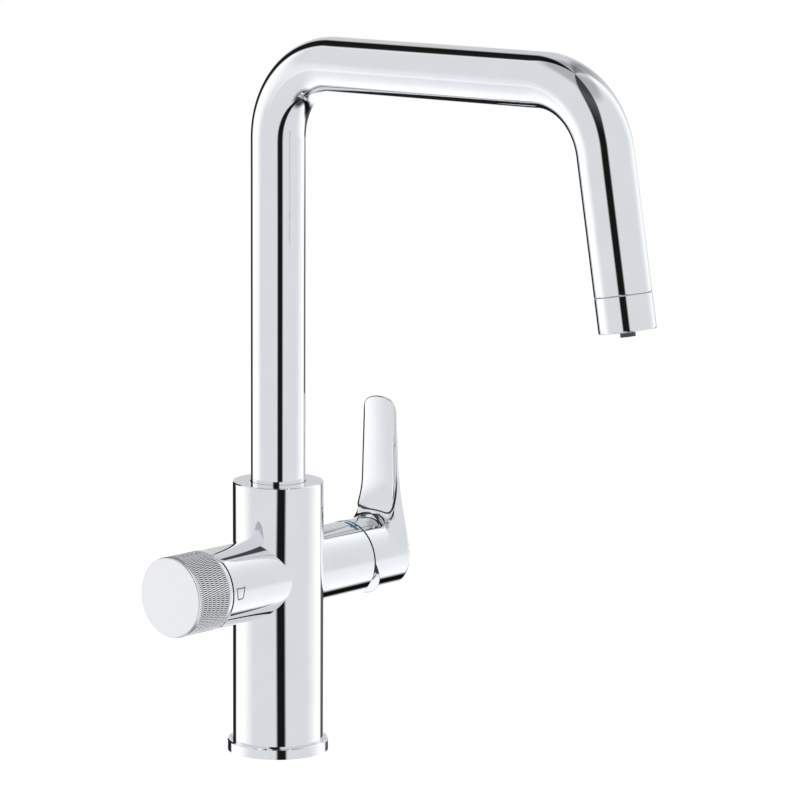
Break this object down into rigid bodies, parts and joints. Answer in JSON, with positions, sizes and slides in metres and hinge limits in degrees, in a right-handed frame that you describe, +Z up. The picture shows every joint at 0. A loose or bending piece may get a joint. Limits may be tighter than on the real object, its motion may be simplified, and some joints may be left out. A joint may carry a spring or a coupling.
{
  "type": "filtered water kitchen tap",
  "caption": "Single-hole kitchen tap in chrome with a swivelling U spout, a side mixing lever and a knurled knob for filtered water.",
  "frame": {"origin": "centre of the base flange's underside, on the worktop", "axes": "+Z up along the column, -Y forwards along the spout at rest, +X right along the cross axis towards the mixing lever, -X towards the filtered water knob"},
  "size_m": [0.1603, 0.263, 0.3682],
  "materials": {
    "polished_chrome": "polished",
    "satin_chrome": "satin",
    "raw_brass": "machined",
    "stainless_steel": "satin",
    "black_rubber": "matte",
    "white_plastic": "matte",
    "grey_plastic": "matte",
    "dark_grey_plastic": "matte",
    "ceramic": "lapped"
  },
  "bodies": {
    "tap_body": {"base_flange": "polished_chrome", "base_gasket": "black_rubber", "main_body": "polished_chrome", "hose_block": "raw_brass", "hose_block_seal": "black_rubber", "hose_block_circlip": "stainless_steel", "spout_upper_bush": "white_plastic", "spout_thrust_washer": "white_plastic", "swivel_stop_screw": "stainless_steel", "filtered_water_nipple": "raw_brass", "filter_valve_washer": "white_plastic", "filter_valve_head": "raw_brass", "filter_valve_seat_seal": "black_rubber", "filter_fixed_disc": "ceramic", "cartridge_port_seals": "black_rubber", "cartridge_housing": "white_plastic", "cartridge_fixed_disc": "ceramic", "cartridge_nut": "raw_brass", "cartridge_dome": "polished_chrome"},
    "spout": {"spout_foot": "raw_brass", "spout_seals": "black_rubber", "spout_tube": "polished_chrome", "filtered_water_pipe": "white_plastic", "outlet_adapter": "raw_brass", "outlet_seam_washer": "grey_plastic", "outlet_housing": "polished_chrome", "aerator_insert": "grey_plastic", "filtered_water_nozzle": "dark_grey_plastic"},
    "filter_knob": {"filter_turning_disc": "ceramic", "filter_valve_spindle": "raw_brass", "knob_adapter": "grey_plastic", "knob_screw": "stainless_steel", "knob_sleeve": "polished_chrome", "knob_cap": "satin_chrome"},
    "mixer_turner": {"mixer_carrier": "grey_plastic", "lever_pivot_pin": "stainless_steel"},
    "mixer_disc": {"cartridge_moving_disc": "ceramic", "moving_disc_holder": "grey_plastic"},
    "mixer_lever": {"lever_stem": "stainless_steel", "lever_handle": "polished_chrome", "lever_set_screw": "stainless_steel", "lever_screw_plug": "grey_plastic"}
  },
  "joints": [
    {"name": "spout_swivel", "type": "hinge", "parent": "tap_body", "child": "spout", "pos_m": [0, 0, 0.12], "axis": [0, 0, 1], "range_deg": [-75, 75]},
    {"name": "filter_knob_turn", "type": "hinge", "parent": "tap_body", "child": "filter_knob", "pos_m": [-0.06, 0, 0.0915], "axis": [-1, 0, 0], "range_deg": [0, 90]},
    {"name": "mixer_temperature", "type": "hinge", "parent": "tap_body", "child": "mixer_turner", "pos_m": [0.048, 0, 0.0915], "axis": [1, 0, 0], "range_deg": [-45, 45]},
    {"name": "lever_lift", "type": "hinge", "parent": "mixer_turner", "child": "mixer_lever", "pos_m": [0.048, 0, 0.0915], "axis": [0, 1, 0], "range_deg": [0, 20]},
    {"name": "disc_slide", "type": "slide", "parent": "mixer_turner", "child": "mixer_disc", "axis": [0, 0, 1], "range_m": [0, 0.005]}
  ],
  "couplings": [
    {"joint": "disc_slide", "follows": "lever_lift", "m_per_rad": 0.014208}
  ]
}
